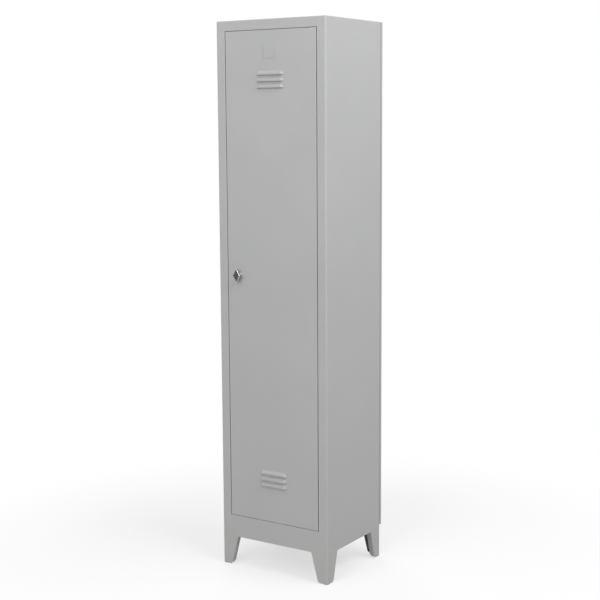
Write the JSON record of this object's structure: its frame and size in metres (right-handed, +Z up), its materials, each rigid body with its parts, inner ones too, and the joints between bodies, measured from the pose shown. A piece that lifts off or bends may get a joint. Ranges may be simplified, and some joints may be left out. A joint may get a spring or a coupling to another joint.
{
  "type": "clothes locker",
  "caption": "Tall narrow sheet-steel clothes locker on tapered legs, with a flush louvred door on concealed hinges, a chrome turn latch, a hat shelf and a hanging rail",
  "frame": {"origin": "on the floor, under the middle of the overall box (lock handle to back panel)", "axes": "+Z is up from the floor, -Y is the front with the door, +X is the hinge side, to the right as seen from the front"},
  "size_m": [0.415, 0.37, 1.8],
  "materials": {
    "grey_paint": "light grey powder coat, satin, on sheet steel",
    "chrome": "polished chrome on zinc casting",
    "zinc": "bright zinc-plated steel",
    "rubber": "soft black rubber",
    "black_plastic": "moulded black plastic"
  },
  "bodies": {
    "carcass": {"top_panel": "grey_paint", "base_panel": "grey_paint", "left_side_panel": "grey_paint", "right_side_panel": "grey_paint", "back_panel": "grey_paint", "front_left_leg": "grey_paint", "front_right_leg": "grey_paint", "rear_left_leg": "grey_paint", "rear_right_leg": "grey_paint", "floor_glides": "black_plastic", "hat_shelf": "grey_paint", "left_shelf_support": "grey_paint", "right_shelf_support": "grey_paint", "hanging_rail": "zinc", "left_rail_socket": "black_plastic", "right_rail_socket": "black_plastic", "upper_hinge_lug": "grey_paint", "middle_hinge_lug": "grey_paint", "lower_hinge_lug": "grey_paint", "hinge_rivets": "zinc", "door_buffers": "rubber"},
    "door": {"door_panel": "grey_paint", "door_stiffener": "grey_paint", "upper_hinge_bracket": "grey_paint", "middle_hinge_bracket": "grey_paint", "lower_hinge_bracket": "grey_paint", "upper_hinge_pin": "zinc", "middle_hinge_pin": "zinc", "lower_hinge_pin": "zinc", "lock_rosette": "chrome", "lock_nut": "zinc"},
    "latch": {"turn_handle": "chrome", "latch_cam": "zinc", "cam_screw": "zinc"}
  },
  "joints": [
    {"name": "door_swing", "type": "hinge", "parent": "carcass", "child": "door", "pos_m": [0.162, -0.159, 0.9705], "axis": [0, 0, 1], "range_deg": [0, 100]},
    {"name": "latch_turn", "type": "hinge", "parent": "door", "child": "latch", "pos_m": [-0.1265, -0.165, 0.987], "axis": [0, 1, 0], "range_deg": [0, 90]}
  ]
}
